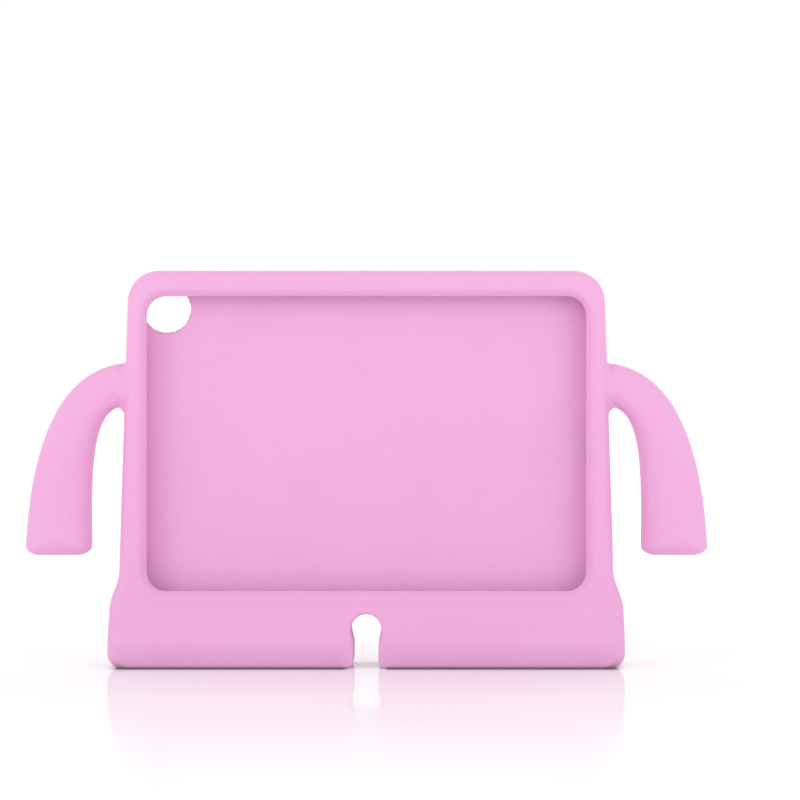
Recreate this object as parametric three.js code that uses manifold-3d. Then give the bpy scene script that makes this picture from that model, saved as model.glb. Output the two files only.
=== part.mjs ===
// Child's tablet case that stands on its own feet: one moulding of soft closed-cell foam.
// A window frame with a pocket behind it, two hanging arms that serve as handles, and a wide
// base split into two feet. Millimetres, +Z up, the window faces -Y, X = 0 is the middle.
import * as THREE from "three";
import { LoftGeometry } from "three/addons/geometries/LoftGeometry.js";
import { mergeVertices } from "three/addons/utils/BufferGeometryUtils.js";
import Module from "manifold-3d";

// What the pocket is made for, in landscape, and its clearance
const FITS_WIDTH = 240;
const FITS_HEIGHT = 169.5;
const FITS_THICKNESS = 7.5;
const FIT_AROUND = 0.75;
const FIT_BEHIND = 0.1;
const POCKET_CORNER = 10;

// Foam around the pocket
const LIP = 6.5; // in front
const BACK_WALL = 10.9;
const SIDE_WALL_TOP = 7.25;
const SIDE_WALL_LOW = 12.35;
const TOP_WALL = 7.65;
const SEAT_HEIGHT = 34.35; // floor to the bottom of the pocket
const TOP_CORNER = 16.5; // outer corner, seen from the front
const FRONT_ROUND = 6.5;
const BACK_ROUND = 11;

// The window, smaller than the pocket by the lip's overlap, and its sloping rim
const OVERLAP_SIDE = 2.5;
const OVERLAP_TOP = 6.15;
const WINDOW_CORNER = 10.7;
const CHAMFER_WIDTH = 3.2;
const CHAMFER_DEPTH = 3.2;

// The base flares out on all four sides; tops and feet of the S-curves are heights
const SKIRT = 9; // to the front and to the back
const SIDE_FLARE = 5.4;
const FLARE_TOP = 54;
const FLARE_LOW = 28;
const FRONT_SKIRT_TOP = 36;
const FRONT_SKIRT_LOW = 9;
const BACK_SKIRT_TOP = 58;
const BACK_SKIRT_LOW = 35;
const BOTTOM_CORNER = 7.5; // at the two ends, seen from the front
const BOTTOM_EDGE = 1.6; // at the front and back

// The gap that splits the base into two feet
const NOTCH_ROOF = 5.95; // foam left between the gap and the pocket
const NOTCH_HEAD_RADIUS = 8.15;
const NOTCH_NECK = 13.3;
const NOTCH_NECK_TOP = 11;
const NOTCH_MOUTH_ROUND = 4.3;

// The arms
const SHOULDER_TOP = 163.5;
const SHOULDER_HEIGHT = 24.1;
const SHOULDER_DEPTH = 17.5;
const ARM_GAP = 15.1; // between the hand and the body
const HAND_WIDTH = 36;
const HAND_DEPTH = 25;
const HAND_BOTTOM = 59.3;
const HAND_ROUND = 5.4; // height of the blunt end's rounding
const HAND_CORNER = 8.6; // its width, seen from the front
const HAND_EDGE = 7; // its depth
const ARM_SQUARENESS = 2.4; // of the section: 2 is an ellipse, more is squarer
const ROOT_FLARE = 6; // fillet under the shoulder

// Openings in the walls, placed from the pocket's upper left corner or its middle height
const CAMERA_INWARD = 12.75;
const CAMERA_DOWN = 12.85;
const CAMERA_RADIUS = 12.6; // at the pocket
const CAMERA_MOUTH = 15.8; // at the back face
const VOLUME_INWARD = 40.75;
const VOLUME_LENGTH = 32;
const PORT_LENGTH = 19;
const POWER_RISE = 59;
const POWER_LENGTH = 18;
const JACK_DROP = 67;
const JACK_LENGTH = 8.6;
const SLOT_MARGIN = 0.5; // pocket's depth left on each side of a slot

const POCKET_WIDTH = FITS_WIDTH + 2 * FIT_AROUND;
const POCKET_HEIGHT = FITS_HEIGHT + 2 * FIT_AROUND;
const POCKET_DEPTH = FITS_THICKNESS + FIT_BEHIND;
const POCKET_SIDE = POCKET_WIDTH / 2;
const POCKET_TOP = SEAT_HEIGHT + POCKET_HEIGHT;
const POCKET_MID_Z = SEAT_HEIGHT + POCKET_HEIGHT / 2;
const BODY_DEPTH = LIP + POCKET_DEPTH + BACK_WALL;
const FRONT = -BODY_DEPTH / 2;
const BACK = BODY_DEPTH / 2;
const POCKET_FRONT_Y = FRONT + LIP;
const POCKET_BACK_Y = BACK - BACK_WALL;
const POCKET_MID_Y = (POCKET_FRONT_Y + POCKET_BACK_Y) / 2;
const HEIGHT = POCKET_TOP + TOP_WALL;
const BODY_HALF_TOP = POCKET_SIDE + SIDE_WALL_TOP;
const BODY_HALF_LOW = POCKET_SIDE + SIDE_WALL_LOW;
const SLOT_HEIGHT = POCKET_DEPTH - 2 * SLOT_MARGIN;
const RIGHT = 1;
const LEFT = -1;

const wasm = await Module();
wasm.setup();

// Turns a closed geometry into a solid whose faces point outwards.
function solid(geometry) {
  const bare = new THREE.BufferGeometry();
  bare.setAttribute("position", geometry.getAttribute("position"));
  bare.setIndex(geometry.getIndex());
  const merged = mergeVertices(bare, 1e-4);
  const corners = new Uint32Array(merged.index.array);
  const p = merged.getAttribute("position");
  const [a, b, c] = [new THREE.Vector3(), new THREE.Vector3(), new THREE.Vector3()];
  let sixVolumes = 0;
  for (let i = 0; i < corners.length; i += 3) {
    a.fromBufferAttribute(p, corners[i]);
    b.fromBufferAttribute(p, corners[i + 1]);
    c.fromBufferAttribute(p, corners[i + 2]);
    sixVolumes += a.dot(b.cross(c));
  }
  if (sixVolumes < 0) {
    for (let i = 0; i < corners.length; i += 3) {
      const second = corners[i + 1];
      corners[i + 1] = corners[i + 2];
      corners[i + 2] = second;
    }
  }
  const mesh = new wasm.Mesh({ numProp: 3, vertProperties: p.array, triVerts: corners });
  return new wasm.Manifold(mesh);
}

function centreOf(ring) {
  const sum = ring.reduce((total, p) => total.add(p), new THREE.Vector3());
  return sum.divideScalar(ring.length);
}

// Closed skin through rings of equal length, which turn the same way round.
function loft(sections) {
  const start = centreOf(sections[0]);
  const onward = centreOf(sections[1]).sub(start);
  const turn = new THREE.Vector3();
  sections[0].forEach((p, i, ring) => {
    const next = ring[(i + 1) % ring.length].clone().sub(start);
    turn.add(p.clone().sub(start).cross(next));
  });
  const rings = turn.dot(onward) > 0 ? sections : sections.map((ring) => ring.slice().reverse());
  return solid(new LoftGeometry(rings, { closed: true, capStart: true, capEnd: true }));
}

// Closed ring of a rectangle with round corners, as [u, v] pairs. The corners on the side of
// low v may have a radius of their own.
function roundedRing([u0, u1], [v0, v1], highRadius, lowRadius, steps) {
  const most = 0.48 * Math.min(u1 - u0, v1 - v0);
  const high = Math.min(highRadius, most);
  const low = Math.min(lowRadius, most);
  const corners = [
    [u1 - high, v1 - high, high],
    [u0 + high, v1 - high, high],
    [u0 + low, v0 + low, low],
    [u1 - low, v0 + low, low],
  ];
  const ring = [];
  corners.forEach(([u, v, r], quarter) => {
    for (let i = 0; i <= steps; i++) {
      const angle = ((quarter + i / steps) * Math.PI) / 2;
      ring.push([u + r * Math.cos(angle), v + r * Math.sin(angle)]);
    }
  });
  return ring;
}

// How far a round edge of this radius has drawn in, at a distance past where it starts.
function drawnIn(past, radius) {
  const d = Math.min(Math.max(past, 0), radius);
  return radius - Math.sqrt(radius * radius - d * d);
}

// Smooth S-curve from 0 at the top of a flare to 1 at its foot.
function flare(z, top, low) {
  return THREE.MathUtils.smootherstep(top - z, 0, top - low);
}

function halfWidth(z) {
  const up = THREE.MathUtils.clamp((z - FLARE_TOP) / (HEIGHT - FLARE_TOP), 0, 1);
  const side = THREE.MathUtils.lerp(BODY_HALF_LOW, BODY_HALF_TOP, up);
  return (
    side +
    SIDE_FLARE * flare(z, FLARE_TOP, FLARE_LOW) -
    drawnIn(z - (HEIGHT - TOP_CORNER), TOP_CORNER) -
    drawnIn(BOTTOM_CORNER - z, BOTTOM_CORNER)
  );
}

// Distance of the front or back surface from the middle plane.
function reach(z, skirtTop, skirtLow, topRound) {
  return (
    BODY_DEPTH / 2 +
    SKIRT * flare(z, skirtTop, skirtLow) -
    drawnIn(z - (HEIGHT - topRound), topRound) -
    drawnIn(BOTTOM_EDGE - z, BOTTOM_EDGE)
  );
}

// Heights of the body's sections: close together where its surface bends.
function sectionHeights() {
  const heights = [];
  for (const [radius, steps] of [[BOTTOM_EDGE, 4], [BOTTOM_CORNER, 8]]) {
    for (let i = 0; i < steps; i++) {
      heights.push(radius * (1 - Math.cos((i / steps) * (Math.PI / 2))));
    }
  }
  const bendTop = Math.max(BACK_SKIRT_TOP, FLARE_TOP) + 1;
  for (let i = 0; i <= 18; i++) {
    heights.push(THREE.MathUtils.lerp(BOTTOM_CORNER, bendTop, i / 18));
  }
  heights.push(POCKET_MID_Z);
  for (let i = 0; i < 2; i++) {
    heights.push(HEIGHT - TOP_CORNER + ((TOP_CORNER - BACK_ROUND) * i) / 2);
  }
  for (let i = 0; i <= 10; i++) {
    heights.push(HEIGHT - BACK_ROUND * (1 - Math.sin((i / 10) * (Math.PI / 2))));
  }
  heights.sort((a, b) => a - b);
  return heights.filter((z, i) => i === 0 || z - heights[i - 1] > 0.05);
}

function makeBody() {
  const sections = sectionHeights().map((z) => {
    const w = halfWidth(z);
    const front = -reach(z, FRONT_SKIRT_TOP, FRONT_SKIRT_LOW, FRONT_ROUND);
    const back = reach(z, BACK_SKIRT_TOP, BACK_SKIRT_LOW, BACK_ROUND);
    const ring = roundedRing([-w, w], [front, back], BACK_ROUND, FRONT_ROUND, 8);
    return ring.map(([x, y]) => new THREE.Vector3(x, y, z));
  });
  return loft(sections);
}

function squared(value) {
  return Math.sign(value) * Math.abs(value) ** (2 / ARM_SQUARENESS);
}

// Superellipse section of an arm, between a point on its outer and one on its inner side.
function armSection([outerX, outerZ], [innerX, innerZ], depth) {
  const middle = new THREE.Vector2((outerX + innerX) / 2, (outerZ + innerZ) / 2);
  const half = new THREE.Vector2((outerX - innerX) / 2, (outerZ - innerZ) / 2);
  const section = [];
  for (let i = 0; i < 32; i++) {
    const angle = (i / 32) * 2 * Math.PI;
    const across = squared(Math.cos(angle));
    const deep = squared(Math.sin(angle));
    const x = middle.x + half.x * across;
    const z = middle.y + half.y * across;
    section.push(new THREE.Vector3(x, (depth / 2) * deep, z));
  }
  return section;
}

// The arm on the +X side. It grows out of the side wall, bends down and ends in a blunt hand.
function armSections() {
  const wall = halfWidth(SHOULDER_TOP);
  const armpit = SHOULDER_TOP - SHOULDER_HEIGHT;
  const palm = BODY_HALF_LOW + ARM_GAP;
  const outside = palm + HAND_WIDTH;
  const handTop = HAND_BOTTOM + HAND_ROUND;
  const drop = SHOULDER_TOP - handTop;
  const innerDrop = armpit - handTop;
  const outerCurve = new THREE.CubicBezierCurve(
    new THREE.Vector2(wall, SHOULDER_TOP),
    new THREE.Vector2(THREE.MathUtils.lerp(wall, outside, 0.78), SHOULDER_TOP - 0.04 * drop),
    new THREE.Vector2(THREE.MathUtils.lerp(wall, outside, 0.96), SHOULDER_TOP - 0.59 * drop),
    new THREE.Vector2(outside, handTop),
  );
  const innerCurve = new THREE.CubicBezierCurve(
    new THREE.Vector2(THREE.MathUtils.lerp(wall, palm, 0.24), armpit),
    new THREE.Vector2(THREE.MathUtils.lerp(wall, palm, 1.12), armpit - 0.07 * innerDrop),
    new THREE.Vector2(palm, armpit - 0.6 * innerDrop),
    new THREE.Vector2(palm, handTop),
  );
  const root = [
    [-6, 0.5, -6, 1.5, 3],
    [0.2, 0, 0.8, 0.87, 2.2],
    [2, -0.1, 1.8, 0.33, 0.8],
  ];
  const sections = root.map(([outerX, rise, innerX, sag, swell]) =>
    armSection(
      [wall + outerX, SHOULDER_TOP + rise],
      [wall + innerX, armpit - sag * ROOT_FLARE],
      SHOULDER_DEPTH + swell,
    ),
  );
  const steps = 16;
  for (let i = 0; i <= steps; i++) {
    const along = i / steps;
    const outer = outerCurve.getPoint(THREE.MathUtils.lerp(0.035, 1, along));
    const inner = innerCurve.getPoint(along);
    const swell = THREE.MathUtils.smoothstep(along, 0, 0.55);
    const depth = THREE.MathUtils.lerp(SHOULDER_DEPTH, HAND_DEPTH, swell);
    sections.push(armSection([outer.x, outer.y], [inner.x, inner.y], depth));
  }
  for (let i = 1; i <= 5; i++) {
    const angle = ((i / 5) * Math.PI) / 2;
    const z = handTop - HAND_ROUND * Math.sin(angle);
    const inset = 1 - Math.cos(angle);
    const side = HAND_CORNER * inset;
    const depth = HAND_DEPTH - 2 * HAND_EDGE * inset;
    sections.push(armSection([outside - side, z], [palm + side, z], depth));
  }
  return sections;
}

function mirrored(sections) {
  return sections.map((ring) => ring.map((p) => new THREE.Vector3(-p.x, p.y, p.z)));
}

// Prism along Y from a shape drawn in X and Z.
function prismAlongY(shape, y0, y1) {
  const geometry = new THREE.ExtrudeGeometry(shape, {
    depth: y1 - y0,
    bevelEnabled: false,
    curveSegments: 16,
  });
  return solid(geometry.rotateX(Math.PI / 2).translate(0, y1, 0));
}

function makePocket() {
  const across = [-POCKET_SIDE, POCKET_SIDE];
  const ring = roundedRing(across, [SEAT_HEIGHT, POCKET_TOP], POCKET_CORNER, POCKET_CORNER, 8);
  const shape = new THREE.Shape(ring.map(([x, z]) => new THREE.Vector2(x, z)));
  return prismAlongY(shape, POCKET_FRONT_Y, POCKET_BACK_Y);
}

// The window: a straight edge at the pocket, then a sloping rim that opens to the front.
function makeWindow() {
  const slope = CHAMFER_WIDTH / CHAMFER_DEPTH;
  const past = 4;
  const levels = [
    [POCKET_MID_Y, 0],
    [FRONT + CHAMFER_DEPTH, 0],
    [FRONT - past, CHAMFER_WIDTH + past * slope],
  ];
  const sections = levels.map(([y, grow]) => {
    const side = POCKET_SIDE - OVERLAP_SIDE + grow;
    const low = SEAT_HEIGHT + OVERLAP_TOP - grow;
    const high = POCKET_TOP - OVERLAP_TOP + grow;
    const corner = WINDOW_CORNER + grow;
    const ring = roundedRing([-side, side], [low, high], corner, corner, 10);
    return ring.map(([x, z]) => new THREE.Vector3(x, y, z));
  });
  return loft(sections);
}

// Round hole through the back wall, wider at the back face.
function makeCameraHole() {
  const slope = (CAMERA_MOUTH - CAMERA_RADIUS) / BACK_WALL;
  const past = 2;
  const geometry = new THREE.CylinderGeometry(
    CAMERA_MOUTH + past * slope,
    CAMERA_RADIUS - past * slope,
    BACK_WALL + 2 * past,
    48,
  );
  const x = -POCKET_SIDE + CAMERA_INWARD;
  const z = POCKET_TOP - CAMERA_DOWN;
  return solid(geometry.translate(x, (BACK + POCKET_BACK_Y) / 2, z));
}

// Keyhole gap: a round head, a neck that it narrows into, and a mouth with round corners.
function makeNotch() {
  const neck = NOTCH_NECK / 2;
  const r = NOTCH_HEAD_RADIUS;
  const headZ = SEAT_HEIGHT - NOTCH_ROOF - r;
  const mouth = NOTCH_MOUTH_ROUND;
  const middleZ = (headZ + NOTCH_NECK_TOP) / 2;
  const shape = new THREE.Shape();
  shape.moveTo(-neck - mouth, -2);
  shape.lineTo(neck + mouth, -2);
  shape.absarc(neck + mouth, mouth, mouth, 1.5 * Math.PI, Math.PI, true);
  shape.lineTo(neck, NOTCH_NECK_TOP);
  shape.bezierCurveTo(neck, middleZ, r, middleZ, r, headZ);
  shape.absarc(0, headZ, r, 0, Math.PI, false);
  shape.bezierCurveTo(-r, middleZ, -neck, middleZ, -neck, NOTCH_NECK_TOP);
  shape.lineTo(-neck, mouth);
  shape.absarc(-neck - mouth, mouth, mouth, 0, -Math.PI / 2, true);
  return prismAlongY(shape, FRONT - SKIRT - 5, BACK + SKIRT + 5);
}

// Slot with round ends, its length along X, to be cut along Z.
function slotGeometry(length, depth) {
  const r = SLOT_HEIGHT / 2;
  const flat = length / 2 - r;
  const shape = new THREE.Shape();
  shape.absarc(flat, 0, r, -Math.PI / 2, Math.PI / 2, false);
  shape.absarc(-flat, 0, r, Math.PI / 2, 1.5 * Math.PI, false);
  return new THREE.ExtrudeGeometry(shape, { depth, bevelEnabled: false, curveSegments: 10 });
}

// Slot from the pocket out through one side wall, ending short of the arm beside it.
function slotThroughSide(side, z, length) {
  const start = POCKET_SIDE - 2;
  const depth = halfWidth(z) + 3 - start;
  const geometry = slotGeometry(length, depth).rotateY(Math.PI / 2);
  const x = side === RIGHT ? start : -start - depth;
  return solid(geometry.translate(x, POCKET_MID_Y, z));
}

function slotThroughTop() {
  const start = POCKET_TOP - 2;
  const geometry = slotGeometry(VOLUME_LENGTH, HEIGHT + 3 - start);
  return solid(geometry.translate(-POCKET_SIDE + VOLUME_INWARD, POCKET_MID_Y, start));
}

const arm = armSections();
let foam = makeBody().add(loft(arm)).add(loft(mirrored(arm)));
foam = foam.subtract(makePocket()).subtract(makeWindow());
foam = foam.subtract(makeCameraHole()).subtract(makeNotch()).subtract(slotThroughTop());
foam = foam.subtract(slotThroughSide(RIGHT, POCKET_MID_Z, PORT_LENGTH));
foam = foam.subtract(slotThroughSide(LEFT, POCKET_MID_Z + POWER_RISE, POWER_LENGTH));
foam = foam.subtract(slotThroughSide(LEFT, POCKET_MID_Z - JACK_DROP, JACK_LENGTH));

const made = foam.getMesh();
const geometry = new THREE.BufferGeometry();
geometry.setAttribute("position", new THREE.BufferAttribute(made.vertProperties, 3));
geometry.setIndex(new THREE.BufferAttribute(made.triVerts, 1));
geometry.computeVertexNormals();

const pinkFoam = new THREE.MeshStandardMaterial({
  color: new THREE.Color().setStyle("rgb(240, 172, 220)"),
  roughness: 0.75,
  metalness: 0,
});
const foamCase = new THREE.Mesh(geometry, pinkFoam);
foamCase.name = "foam_case";

const tabletCase = new THREE.Group();
tabletCase.add(foamCase);
export default tabletCase;
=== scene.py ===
"""Looks for the foam tablet case: fine surface, foam material, white studio and camera."""
import math

import bmesh
import bpy
import numpy as np
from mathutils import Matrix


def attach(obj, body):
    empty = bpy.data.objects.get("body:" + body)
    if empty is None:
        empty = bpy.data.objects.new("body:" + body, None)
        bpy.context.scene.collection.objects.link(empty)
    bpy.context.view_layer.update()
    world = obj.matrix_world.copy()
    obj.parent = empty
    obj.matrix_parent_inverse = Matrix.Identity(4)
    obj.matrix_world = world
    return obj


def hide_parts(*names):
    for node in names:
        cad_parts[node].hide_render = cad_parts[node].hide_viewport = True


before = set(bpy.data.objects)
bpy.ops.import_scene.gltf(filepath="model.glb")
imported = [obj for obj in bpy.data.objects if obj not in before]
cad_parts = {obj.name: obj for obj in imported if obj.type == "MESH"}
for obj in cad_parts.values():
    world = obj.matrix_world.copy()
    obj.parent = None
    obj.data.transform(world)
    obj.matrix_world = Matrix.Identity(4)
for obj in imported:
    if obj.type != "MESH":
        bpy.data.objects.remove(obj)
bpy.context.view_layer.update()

# The case in millimetres, as its solid is built; pairs of a skirt are its top and foot
HEIGHT = 213.0
HALF_TOP, HALF_LOW = 128.0, 133.1
HALF_DEPTH = 12.5
TOP_CORNER, FRONT_ROUND, BACK_ROUND = 16.5, 6.5, 11.0
SKIRT, SIDE_FLARE = 9.0, 5.4
FLARE_TOP, FLARE_LOW = 54.0, 28.0
FRONT_SKIRT = (36.0, 9.0)
BACK_SKIRT = (58.0, 35.0)
BOTTOM_CORNER, BOTTOM_EDGE = 7.5, 1.6
POCKET_SIDE, POCKET_LOW, POCKET_TOP, POCKET_CORNER = 120.75, 34.35, 205.35, 10.0
POCKET_FRONT, POCKET_BACK = -6.0, 1.6
POCKET_MID_Z = (POCKET_LOW + POCKET_TOP) / 2
POCKET_MID_Y = (POCKET_FRONT + POCKET_BACK) / 2
OVERLAP_SIDE, OVERLAP_TOP, WINDOW_CORNER = 2.5, 6.15, 10.7
CHAMFER_WIDTH, CHAMFER_DEPTH = 3.2, 3.2
CAMERA_HOLE = (-108.0, 192.5)
CAMERA_RADIUS, CAMERA_MOUTH = 12.6, 15.8
SLOT_HALF = 3.3  # half of each slot's width, across the case
SLOT_START = 2.0  # a slot's cut begins this far inside the pocket
SIDE_SLOT_END = 138.0  # and ends here at the sides, short of the arms
PORT_LENGTH = 19.0
POWER_RISE, POWER_LENGTH = 59.0, 18.0
JACK_DROP, JACK_LENGTH = 67.0, 8.6
VOLUME_X, VOLUME_LENGTH = -80.0, 32.0
NECK_HALF, NECK_TOP, HEAD_RADIUS, HEAD_Z, MOUTH_ROUND = 6.65, 11.0, 8.15, 20.25, 4.3
SHOULDER_TOP, ARMPIT = 163.5, 139.4
PALM, OUTSIDE = 148.2, 184.2
HAND_BOTTOM, HAND_ROUND, HAND_CORNER = 59.3, 5.4, 8.6
SQUARENESS = 2.4  # of an arm's section: 2 is an ellipse, more is squarer
SHOULDER_HALF, HAND_HALF = 8.75, 12.5  # half of an arm's depth at its two ends
ARM_BOX = (112.0, 52.0, 178.0)  # the arms lie beyond this X, between these heights
FOLD = ((132.2, 141.5), (135.2, 145.5))  # its ends, as X and Z
FOLD_HALF, FOLD_DEPTH = 1.4, 0.5
EDGE = 1.0  # every cut edge in the foam is this round

GRID_LOW, GRID_HIGH = (-186.4, -24.55, -2.6), (186.0, 24.4, 215.0)
CELL, QUICK_CELL = 1.0, 2.0
FACES_KEPT = 0.45
DOUBLED = 2e-6  # metres; points closer than this are one


def smoother(t):
    t = np.clip(t, 0, 1)
    return t * t * t * (t * (6 * t - 15) + 10)


def smooth(t):
    t = np.clip(t, 0, 1)
    return t * t * (3 - 2 * t)


def round_max(a, b, r):
    """Intersection of two fields, its edge rounded to radius r."""
    return np.minimum(np.maximum(a, b), -r) + np.hypot(np.maximum(a + r, 0), np.maximum(b + r, 0))


def round_min(a, b, r):
    """Union of two fields, its inner corner filled to radius r."""
    return -round_max(-a, -b, r)


def rounded_rectangle(u, v, half_u, half_v, r):
    a, b = np.abs(u) - half_u + r, np.abs(v) - half_v + r
    return np.minimum(np.maximum(a, b), 0) + np.hypot(np.maximum(a, 0), np.maximum(b, 0)) - r


def half_width(z):
    up = np.clip((z - FLARE_TOP) / (HEIGHT - FLARE_TOP), 0, 1)
    flare = smoother((FLARE_TOP - z) / (FLARE_TOP - FLARE_LOW))
    return HALF_LOW + (HALF_TOP - HALF_LOW) * up + SIDE_FLARE * flare


def reach(z, skirt):
    return HALF_DEPTH + SKIRT * smoother((skirt[0] - z) / (skirt[0] - skirt[1]))


def body_field(x, y, z):
    """The frame with its flared base, without floor, arms and openings."""
    outline = round_max(np.abs(x) - half_width(z), z - HEIGHT, TOP_CORNER)
    front = round_max(outline, -y - reach(z, FRONT_SKIRT), FRONT_ROUND)
    return round_max(front, y - reach(z, BACK_SKIRT), BACK_ROUND)


def bezier(points, t):
    p = [np.array(q)[None] for q in points]
    s, t = 1 - t[:, None], t[:, None]
    return s**3 * p[0] + 3 * s * s * t * p[1] + 3 * s * t * t * p[2] + t**3 * p[3]


def arm_outline():
    """Closed outline of the +X arm seen from the front, and half the arm's width at each point.

    Its curves pull towards their corner by the same shares as those of the solid.
    """
    wall = float(half_width(np.array(SHOULDER_TOP)))
    hand_top = HAND_BOTTOM + HAND_ROUND
    drop, inner_drop = SHOULDER_TOP - hand_top, ARMPIT - hand_top
    along = np.linspace(0, 1, 56)
    outer = bezier(
        [
            (wall, SHOULDER_TOP),
            (wall + 0.78 * (OUTSIDE - wall), SHOULDER_TOP - 0.04 * drop),
            (wall + 0.96 * (OUTSIDE - wall), SHOULDER_TOP - 0.59 * drop),
            (OUTSIDE, hand_top),
        ],
        0.035 + 0.965 * along,
    )
    inner = bezier(
        [
            (wall + 0.24 * (PALM - wall), ARMPIT),
            (wall + 1.12 * (PALM - wall), ARMPIT - 0.07 * inner_drop),
            (PALM, ARMPIT - 0.6 * inner_drop),
            (PALM, hand_top),
        ],
        along,
    )
    root, below = wall - 40, HAND_BOTTOM - 40
    outer = np.vstack([[(root, SHOULDER_TOP + 0.5)], outer, [(OUTSIDE, below)]])
    inner = np.vstack([[(root, ARMPIT - 0.5)], inner, [(PALM, below)]])
    half = np.hypot(*(outer - inner).T) / 2
    return np.vstack([outer, inner[::-1]]), np.concatenate([half, half[::-1]])


ARM_POINTS, ARM_HALVES = arm_outline()


def outline_distance(u, v):
    """Signed distance to the arm's outline, and half the arm's width at its nearest point."""
    a, b = ARM_POINTS, np.roll(ARM_POINTS, -1, 0)
    d = b - a
    size = (d**2).sum(1)
    next_half = np.roll(ARM_HALVES, -1)
    distance, half = np.empty(len(u)), np.empty(len(u))
    for i in range(0, len(u), 20000):
        pu, pv = u[i : i + 20000, None], v[i : i + 20000, None]
        du, dv = pu - a[:, 0], pv - a[:, 1]
        t = np.clip((du * d[:, 0] + dv * d[:, 1]) / size, 0, 1)
        square = (du - t * d[:, 0]) ** 2 + (dv - t * d[:, 1]) ** 2
        near = square.argmin(1)
        rows = np.arange(len(near))
        crosses = (a[:, 1] > pv) != (b[:, 1] > pv)
        with np.errstate(divide="ignore", invalid="ignore"):
            left = pu < d[:, 0] * dv / d[:, 1] + a[:, 0]
        inside = (crosses & left).sum(1) % 2 == 1
        distance[i : i + 20000] = np.sqrt(square[rows, near]) * np.where(inside, -1, 1)
        tn = t[rows, near]
        half[i : i + 20000] = ARM_HALVES[near] * (1 - tn) + next_half[near] * tn
    return distance, half


def arm_field(x, y, z):
    """Superellipse tube inside the outline, thicker towards the hand, with a blunt end."""
    x = np.abs(x)
    distance, half = outline_distance(x, z)
    away = np.hypot(x - 131, z - 152)
    deep = SHOULDER_HALF + (HAND_HALF - SHOULDER_HALF) * smooth(away / 46)
    end = (HAND_BOTTOM - z) * HAND_CORNER / HAND_ROUND
    across = np.maximum(half + round_max(distance, end, HAND_CORNER), 0) / half
    size = (across**SQUARENESS + (np.abs(y) / deep) ** SQUARENESS) ** (1 / SQUARENESS)
    return (size - 1) * np.minimum(half, deep)


def fold_distance(x, z):
    """Distance to the short fold that the foam has above each armpit, seen from the front."""
    (x0, z0), (x1, z1) = FOLD
    run, rise = x1 - x0, z1 - z0
    across, up = np.abs(x) - x0, z - z0
    along = np.clip((across * run + up * rise) / math.hypot(run, rise) ** 2, 0, 1)
    return np.hypot(across - along * run, up - along * rise)


def slot_field(u, v, length):
    """Slot with round ends, its length along u."""
    return np.hypot(np.maximum(np.abs(u) - length / 2 + SLOT_HALF, 0), v) - SLOT_HALF


def cut_field(x, y, z):
    """Pocket, window with its sloping rim, camera hole and the slots."""
    mid = z - POCKET_MID_Z
    half_v = (POCKET_TOP - POCKET_LOW) / 2
    outline = rounded_rectangle(x, mid, POCKET_SIDE, half_v, POCKET_CORNER)
    depth = np.abs(y - POCKET_MID_Y) - (POCKET_BACK - POCKET_FRONT) / 2
    cut = round_max(outline, depth, EDGE)
    slope = CHAMFER_WIDTH / CHAMFER_DEPTH
    grow = slope * np.maximum(CHAMFER_DEPTH - HALF_DEPTH - y, 0)
    rim = rounded_rectangle(
        x, mid, POCKET_SIDE - OVERLAP_SIDE + grow, half_v - OVERLAP_TOP + grow, WINDOW_CORNER + grow
    ) / np.where(grow > 0, math.hypot(1, slope), 1)
    cut = np.minimum(cut, np.maximum(rim, y - POCKET_MID_Y))
    slope = (CAMERA_MOUTH - CAMERA_RADIUS) / (HALF_DEPTH - POCKET_BACK)
    cone = np.hypot(x - CAMERA_HOLE[0], z - CAMERA_HOLE[1]) - CAMERA_RADIUS
    cone = (cone - slope * (y - POCKET_BACK)) / math.hypot(1, slope)
    cut = np.minimum(cut, np.maximum(cone, POCKET_MID_Y - y))
    start = POCKET_SIDE - SLOT_START
    v = y - POCKET_MID_Y
    port = np.maximum(slot_field(mid, v, PORT_LENGTH), start - x)
    port = np.maximum(port, x - SIDE_SLOT_END)
    power = np.maximum(slot_field(mid - POWER_RISE, v, POWER_LENGTH), start + x)
    power = np.maximum(power, -SIDE_SLOT_END - x)
    jack = np.maximum(slot_field(mid + JACK_DROP, v, JACK_LENGTH), start + x)
    volume = slot_field(x - VOLUME_X, v, VOLUME_LENGTH)
    volume = np.maximum(volume, POCKET_TOP - SLOT_START - z)
    for slot in (port, power, jack, volume):
        cut = np.minimum(cut, slot)
    return cut


def notch_field(x, z):
    """Keyhole gap between the feet: a round head that narrows into the neck."""
    half = NECK_HALF + (HEAD_RADIUS - NECK_HALF) * smooth((z - NECK_TOP) / (HEAD_Z - NECK_TOP))
    head = np.hypot(x, z - HEAD_Z) - HEAD_RADIUS
    return np.where(z > HEAD_Z, head, np.abs(x) - half)


def case_field(x, y, z):
    """Negative inside the foam, positive outside, about the distance in millimetres near it."""
    field = body_field(x, y, z)
    beside, low, high = ARM_BOX
    far = (np.abs(x) > beside) & (z > low) & (z < high)
    ax, ay, az = x[far], y[far], z[far]
    # The arm's root is filled to 1.4 at its front and back, 2.5 above it and 5 in the armpit
    inward = smooth((8 - np.abs(ay)) / 4)
    fillet = 1.4 + inward * (1.1 + 2.5 * smooth((152 - az) / 14))
    joined = round_min(field[far], arm_field(ax, ay, az), fillet)
    field[far] = joined + FOLD_DEPTH * np.exp(-((fold_distance(ax, az) / FOLD_HALF) ** 2))
    floor = round_max(-z, -notch_field(x, z), MOUTH_ROUND)
    # The ends turn under in the round bottom corner, the front and back in the fine edge
    corner = smooth((np.abs(x) - 127) / 10) * (1 - smooth((z - BOTTOM_CORNER) / 4))
    edge = BOTTOM_EDGE + (BOTTOM_CORNER - BOTTOM_EDGE) * corner
    field = round_max(field, floor, edge)
    return round_max(field, -cut_field(x, y, z), EDGE)


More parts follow.
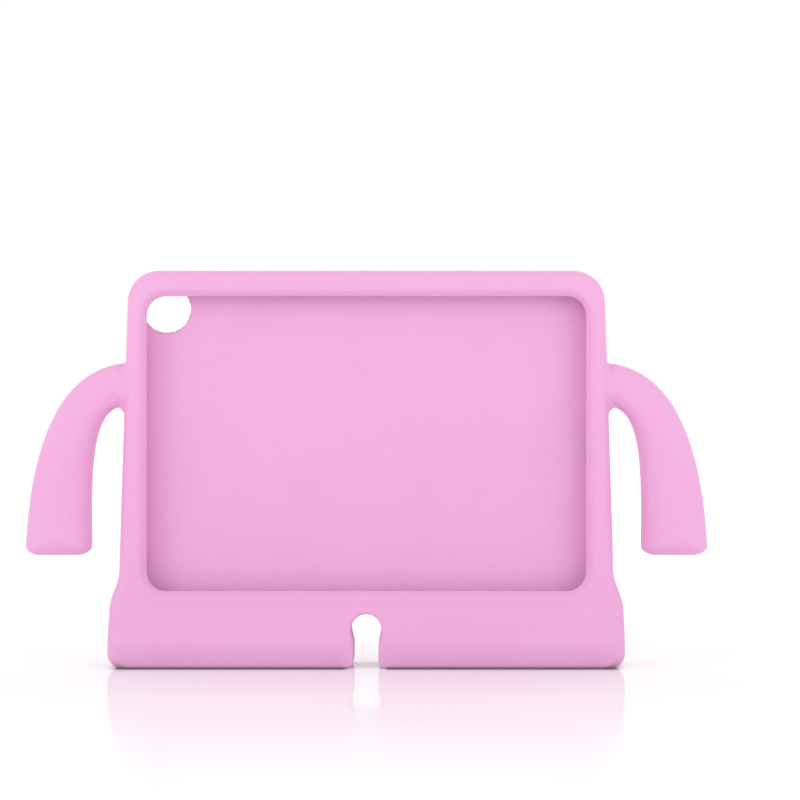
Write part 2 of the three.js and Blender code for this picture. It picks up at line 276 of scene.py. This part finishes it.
def gradient(p):
    """Slope of the field at each point, from its values a little to both sides."""
    step = 0.02
    g = np.empty_like(p)
    for axis in range(3):
        q = p.copy()
        q[:, axis] += step
        high = case_field(*q.T)
        q[:, axis] -= 2 * step
        g[:, axis] = (high - case_field(*q.T)) / (2 * step)
    return g


def sample_grid(low, high, cell):
    """The field on a grid, worked out slice by slice."""
    axes = [np.arange(a, b + cell, cell) for a, b in zip(low, high)]
    shape = tuple(len(a) for a in axes)
    values = np.empty(shape)
    for i, x in enumerate(axes[0]):
        y, z = np.meshgrid(axes[1], axes[2], indexing="ij")
        values[i] = case_field(np.full(y.size, x), y.ravel(), z.ravel()).reshape(y.shape)
    return axes, values


def surface(axes, values, cell):
    """One vertex in each cell that the surface crosses, one quad at each grid edge it crosses."""
    inside = values < 0
    cells = tuple(n - 1 for n in values.shape)
    total = np.zeros(cells + (3,))
    count = np.zeros(cells)
    crossings = []
    for axis in range(3):
        first = [slice(None)] * 3
        second = [slice(None)] * 3
        first[axis], second[axis] = slice(0, -1), slice(1, None)
        crossed = np.argwhere(inside[tuple(first)] != inside[tuple(second)])
        a = values[tuple(crossed.T)]
        end = crossed.copy()
        end[:, axis] += 1
        b = values[tuple(end.T)]
        place = crossed.astype(float)
        place[:, axis] += a / (a - b)
        u, v = [n for n in range(3) if n != axis]
        corners = []
        for du, dv in ((0, 0), (1, 0), (1, 1), (0, 1)):
            cell_at = crossed.copy()
            cell_at[:, u] -= du
            cell_at[:, v] -= dv
            np.add.at(total, tuple(cell_at.T), place)
            np.add.at(count, tuple(cell_at.T), 1)
            corners.append(cell_at)
        crossings.append((axis, a < 0, corners))
    number = np.full(cells, -1)
    used = np.argwhere(count > 0)
    number[tuple(used.T)] = np.arange(len(used))
    points = total[tuple(used.T)] / count[tuple(used.T)][:, None] * cell
    points += [a[0] for a in axes]
    quads = []
    for axis, leaves, corners in crossings:
        ring = np.stack([number[tuple(c.T)] for c in corners], 1)
        flip = leaves if axis == 1 else ~leaves
        quads.append(np.where(flip[:, None], ring[:, ::-1], ring))
    return points, np.vstack(quads)


def settle(points, cell):
    """Moves the points onto the surface along its slope."""
    for _ in range(3):
        g = gradient(points)
        value = case_field(*points.T)
        step = -g * (value / np.maximum((g**2).sum(1), 0.2))[:, None]
        length = np.linalg.norm(step, axis=1)
        step *= np.minimum(1, 0.4 * cell / np.maximum(length, 1e-9))[:, None]
        points = points + step
    return points


def mesh_from(name, points, quads):
    mesh = bpy.data.meshes.new(name)
    mesh.vertices.add(len(points))
    mesh.vertices.foreach_set("co", (points / 1000).ravel())
    mesh.loops.add(quads.size)
    mesh.loops.foreach_set("vertex_index", quads.ravel())
    mesh.polygons.add(len(quads))
    mesh.polygons.foreach_set("loop_start", np.arange(0, quads.size, 4))
    mesh.update(calc_edges=True)
    mesh.validate()
    return mesh


def thin(obj, ratio):
    """Gives the object a mesh with fewer faces where it is flat, and no doubled points."""
    modifier = obj.modifiers.new("thin", "DECIMATE")
    modifier.ratio = ratio
    graph = bpy.context.evaluated_depsgraph_get()
    mesh = bpy.data.meshes.new_from_object(obj.evaluated_get(graph))
    obj.modifiers.clear()
    work = bmesh.new()
    work.from_mesh(mesh)
    bmesh.ops.remove_doubles(work, verts=work.verts, dist=DOUBLED)
    work.to_mesh(mesh)
    work.free()
    obj.data = mesh


def build_case():
    cell = CELL
    axes, values = sample_grid(GRID_LOW, GRID_HIGH, cell)
    points, quads = surface(axes, values, cell)
    points = settle(points, cell)
    piece = bpy.data.objects.new("foam_shell", mesh_from("foam_shell", points, quads))
    bpy.context.scene.collection.objects.link(piece)
    thin(piece, FACES_KEPT)
    mesh = piece.data
    mesh.polygons.foreach_set("use_smooth", np.ones(len(mesh.polygons), bool))
    place = np.empty(3 * len(mesh.vertices))
    mesh.vertices.foreach_get("co", place)
    normals = gradient(place.reshape(-1, 3) * 1000)
    normals /= np.maximum(np.linalg.norm(normals, axis=1), 1e-9)[:, None]
    mesh.normals_split_custom_set_from_vertices(normals)
    return piece


class Nodes:
    """Short way to add and join a material's nodes."""

    def __init__(self, name):
        self.material = bpy.data.materials.new(name)
        self.material.use_nodes = True
        self.tree = self.material.node_tree
        self.shader = self.tree.nodes["Principled BSDF"]
        self.place = self.tree.nodes.new("ShaderNodeTexCoord").outputs["Object"]

    def add(self, kind, inputs=(), **settings):
        node = self.tree.nodes.new(kind)
        for key, value in settings.items():
            setattr(node, key, value)
        for key, value in dict(inputs).items():
            if isinstance(value, bpy.types.NodeSocket):
                self.tree.links.new(value, node.inputs[key])
            else:
                node.inputs[key].default_value = value
        return node

    def noise(self, scale, detail=2.0, rough=0.5):
        settings = {"Vector": self.place, "Scale": scale, "Detail": detail, "Roughness": rough}
        return self.add("ShaderNodeTexNoise", settings).outputs["Fac"]

    def map_range(self, value, start, end, low, high):
        settings = {"Value": value, "From Min": start, "From Max": end}
        settings.update({"To Min": low, "To Max": high})
        return self.add("ShaderNodeMapRange", settings).outputs["Result"]

    def spread(self, value, low, high):
        """The part of a noise that matters, stretched from low to high."""
        return self.map_range(value, 0.25, 0.75, low, high)

    def bump(self, height, distance, strength=1.0, below=None):
        settings = {"Height": height, "Distance": distance, "Strength": strength}
        if below is not None:
            settings["Normal"] = below
        return self.add("ShaderNodeBump", settings).outputs["Normal"]

    def to_shader(self, **sockets):
        for key, value in sockets.items():
            key = key.replace("_", " ")
            if isinstance(value, bpy.types.NodeSocket):
                self.tree.links.new(value, self.shader.inputs[key])
            else:
                self.shader.inputs[key].default_value = value


PINK = (0.76, 0.366, 0.635, 1)
PINK_DEEP = (0.745, 0.346, 0.612, 1)
PINK_PALE = (0.83, 0.48, 0.72, 1)


def foam_material():
    """Closed-cell foam: fine pores, a soft skin that is not quite even, a little sheen."""
    n = Nodes("pink_foam")
    cloudy = n.noise(22, 3, 0.55)
    fine = n.noise(900, 2, 0.6)
    mottled = n.add(
        "ShaderNodeMix",
        {0: n.spread(cloudy, 0, 1), 6: PINK, 7: PINK_DEEP},
        data_type="RGBA",
    ).outputs[2]
    specks = n.add(
        "ShaderNodeMix",
        {0: n.spread(fine, 0, 0.16), 6: mottled, 7: PINK_PALE},
        data_type="RGBA",
    ).outputs[2]
    cells = n.add(
        "ShaderNodeTexVoronoi", {"Vector": n.place, "Scale": 1100, "Randomness": 1.0}
    ).outputs["Distance"]
    skin = n.bump(n.noise(120, 3, 0.5), 0.00012, 0.35)
    pores = n.bump(cells, 0.00006, 0.35, skin)
    grain = n.bump(fine, 0.00005, 0.3, pores)
    n.to_shader(
        Base_Color=specks,
        Roughness=n.spread(n.noise(300, 2), 0.52, 0.64),
        Normal=grain,
        Sheen_Weight=0.35,
        Sheen_Roughness=0.35,
    )
    n.shader.inputs["Specular IOR Level"].default_value = 0.4
    return n.material


# The feet's painted contact shadow on the floor, in metres: where it starts, and how much faster it
# fades there than to the front
SHADOW_INNER, SHADOW_OUTER, SHADOW_FRONT, SHADOW_BACK = 0.0125, 0.131, -0.0205, 0.0195
FASTER_INNER, FASTER_OUTER, FASTER_BACK = 3.5, 1.6, 2.0
SHADOW_REACH = 0.0115


def floor_material():
    """White gloss, sharp at the case and duller further out, with a painted contact shadow close
    round the feet.
    """
    n = Nodes("studio_floor")
    across, deep, _ = n.add("ShaderNodeSeparateXYZ", {0: n.place}).outputs

    def number(kind, a, b=0.0):
        return n.add("ShaderNodeMath", {0: a, 1: b}, operation=kind).outputs[0]

    side = number("ABSOLUTE", across)
    inner = number("MULTIPLY", number("SUBTRACT", SHADOW_INNER, side), FASTER_INNER)
    outer = number("MULTIPLY", number("SUBTRACT", side, SHADOW_OUTER), FASTER_OUTER)
    aside = number("MAXIMUM", number("MAXIMUM", inner, outer), 0.0)
    behind = number("MULTIPLY", number("SUBTRACT", deep, SHADOW_BACK), FASTER_BACK)
    before = number("SUBTRACT", SHADOW_FRONT, deep)
    ahead = number("MAXIMUM", number("MAXIMUM", behind, before), 0.0)
    away = number("SQRT", number("ADD", number("POWER", aside, 2.0), number("POWER", ahead, 2.0)))
    # painted contact shadow: the floor's colour darkens to nearly black at the feet
    lit = n.map_range(away, 0.0, SHADOW_REACH, 0.015, 0.88)
    dull = n.map_range(ahead, 0.01, 0.35, 0.02, 0.17)
    # painted light: the floor itself glows, more strongly further from the case
    glow = n.map_range(away, 0.25, 1.5, 0.06, 0.5)
    shade = n.add("ShaderNodeCombineColor", {0: lit, 1: lit, 2: lit}).outputs[0]
    n.to_shader(Base_Color=shade, Roughness=dull, Emission_Strength=glow)
    n.shader.inputs["Emission Color"].default_value = (1, 1, 1, 1)
    n.shader.inputs["IOR"].default_value = 1.07
    return n.material


WORLD_STRENGTH = 1.01
FLOOR_EDGE = 30.0  # metres from the middle
LIT_PLACE = (0, 0, 0.1)  # the lights are aimed at it


def area_light(name, location, size, power):
    light = bpy.data.lights.new(name, "AREA")
    light.shape = "RECTANGLE"
    light.size, light.size_y = size
    light.energy = power
    obj = bpy.data.objects.new(name, light)
    bpy.context.scene.collection.objects.link(obj)
    obj.location = location
    aim = np.array(LIT_PLACE) - np.array(location)
    flat = math.hypot(aim[0], aim[1])
    obj.rotation_euler = (math.atan2(flat, -aim[2]), 0, math.atan2(-aim[0], aim[1]))
    return obj


def build_studio():
    scene = bpy.context.scene
    scene.view_settings.view_transform = "Standard"
    world = bpy.data.worlds.new("studio")
    scene.world = world
    world.use_nodes = True
    tree = world.node_tree
    tree.nodes["Background"].inputs["Strength"].default_value = WORLD_STRENGTH
    tree.nodes["Background"].inputs["Color"].default_value = (1, 1, 1, 1)
    floor_mesh = bpy.data.meshes.new("studio_floor")
    edge = FLOOR_EDGE
    corners = [(-edge, -edge, 0), (edge, -edge, 0), (edge, edge, 0), (-edge, edge, 0)]
    floor_mesh.from_pydata(corners, [], [(0, 1, 2, 3)])
    floor_mesh.materials.append(floor_material())
    floor = bpy.data.objects.new("studio_floor", floor_mesh)
    scene.collection.objects.link(floor)
    area_light("key", (-1.5, -1.1, 0.6), (0.9, 0.9), 5.5)
    area_light("fill", (1.4, -1.2, 0.5), (0.9, 0.9), 4.6)
    area_light("back", (0.2, 1.5, 1.2), (1.4, 0.8), 3)


PIXELS_PER_MM = 1.865
PHOTO_SIDE = 800
SENSOR = 36
CAMERA_AWAY = 1500.0  # millimetres in front of the case's front face
CAMERA_X, CAMERA_Z = 0.0181, 0.1433


def build_camera():
    data = bpy.data.cameras.new("camera")
    data.sensor_width = SENSOR
    data.lens = PIXELS_PER_MM * CAMERA_AWAY * SENSOR / PHOTO_SIDE
    data.clip_start, data.clip_end = 0.05, 2 * FLOOR_EDGE
    camera = bpy.data.objects.new("camera", data)
    bpy.context.scene.collection.objects.link(camera)
    camera.location = (CAMERA_X, -(CAMERA_AWAY + HALF_DEPTH) / 1000, CAMERA_Z)
    camera.rotation_euler = (math.pi / 2, 0, 0)
    bpy.context.scene.camera = camera


build_camera()
build_studio()
case = build_case()
case.data.materials.append(foam_material())
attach(case, "root")
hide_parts("foam_case")
